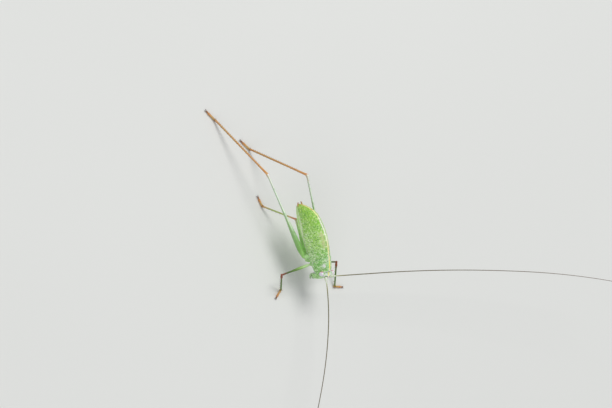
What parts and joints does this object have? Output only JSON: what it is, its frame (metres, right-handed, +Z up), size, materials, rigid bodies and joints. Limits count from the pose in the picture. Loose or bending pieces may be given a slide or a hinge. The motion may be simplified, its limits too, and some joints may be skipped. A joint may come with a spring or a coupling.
{
  "type": "bush katydid nymph (long horned grasshopper)",
  "caption": "Wingless young long horned grasshopper standing with long hind legs swept back and whip-like feelers spread wide.",
  "frame": {"origin": "middle of the whole outline, feelers and feet included, on the floor under the feet", "axes": "+Z up from the floor, +X the way the body points, +Y the animal's left"},
  "size_m": [0.0548, 0.0628, 0.0114],
  "materials": {
    "head": "satin cuticle",
    "eye": "glossy cornea",
    "labrum": "satin cuticle",
    "mandible": "satin cuticle",
    "palp": "satin cuticle",
    "scape": "satin cuticle",
    "antenna": "fine ringed cuticle",
    "pronotum": "satin cuticle",
    "prothorax": "satin cuticle",
    "mesothorax": "satin cuticle",
    "metathorax": "satin cuticle",
    "abdomen": "satin cuticle with pale specks",
    "coxa": "satin cuticle",
    "femur": "satin cuticle",
    "tibia": "satin cuticle",
    "tarsus": "satin cuticle",
    "cercus": "satin cuticle"
  },
  "bodies": {
    "root": {"abdomen_front": "abdomen", "abdomen_middle": "abdomen", "abdomen_rear": "abdomen", "abdomen_tip": "abdomen", "antenna_base_left": "antenna", "antenna_base_right": "antenna", "antenna_middle_left": "antenna", "antenna_middle_right": "antenna", "antenna_tip_left": "antenna", "antenna_tip_right": "antenna", "cercus_left": "cercus", "cercus_right": "cercus", "coxa_fore_left": "coxa", "coxa_fore_right": "coxa", "coxa_hind_left": "coxa", "coxa_hind_right": "coxa", "coxa_mid_left": "coxa", "coxa_mid_right": "coxa", "eye_left": "eye", "eye_right": "eye", "femur_fore_left": "femur", "femur_fore_right": "femur", "femur_hind_left": "femur", "femur_hind_right": "femur", "femur_mid_left": "femur", "femur_mid_right": "femur", "head": "head", "labrum": "labrum", "mandible_left": "mandible", "mandible_right": "mandible", "mesothorax": "mesothorax", "metathorax": "metathorax", "palp_left": "palp", "palp_right": "palp", "pronotum": "pronotum", "prothorax": "prothorax", "scape_left": "scape", "scape_right": "scape", "tarsus_fore_left": "tarsus", "tarsus_fore_right": "tarsus", "tarsus_hind_left": "tarsus", "tarsus_hind_right": "tarsus", "tarsus_mid_left": "tarsus", "tarsus_mid_right": "tarsus", "tibia_fore_left": "tibia", "tibia_fore_right": "tibia", "tibia_hind_left": "tibia", "tibia_hind_right": "tibia", "tibia_mid_left": "tibia", "tibia_mid_right": "tibia"}
  },
  "joints": []
}
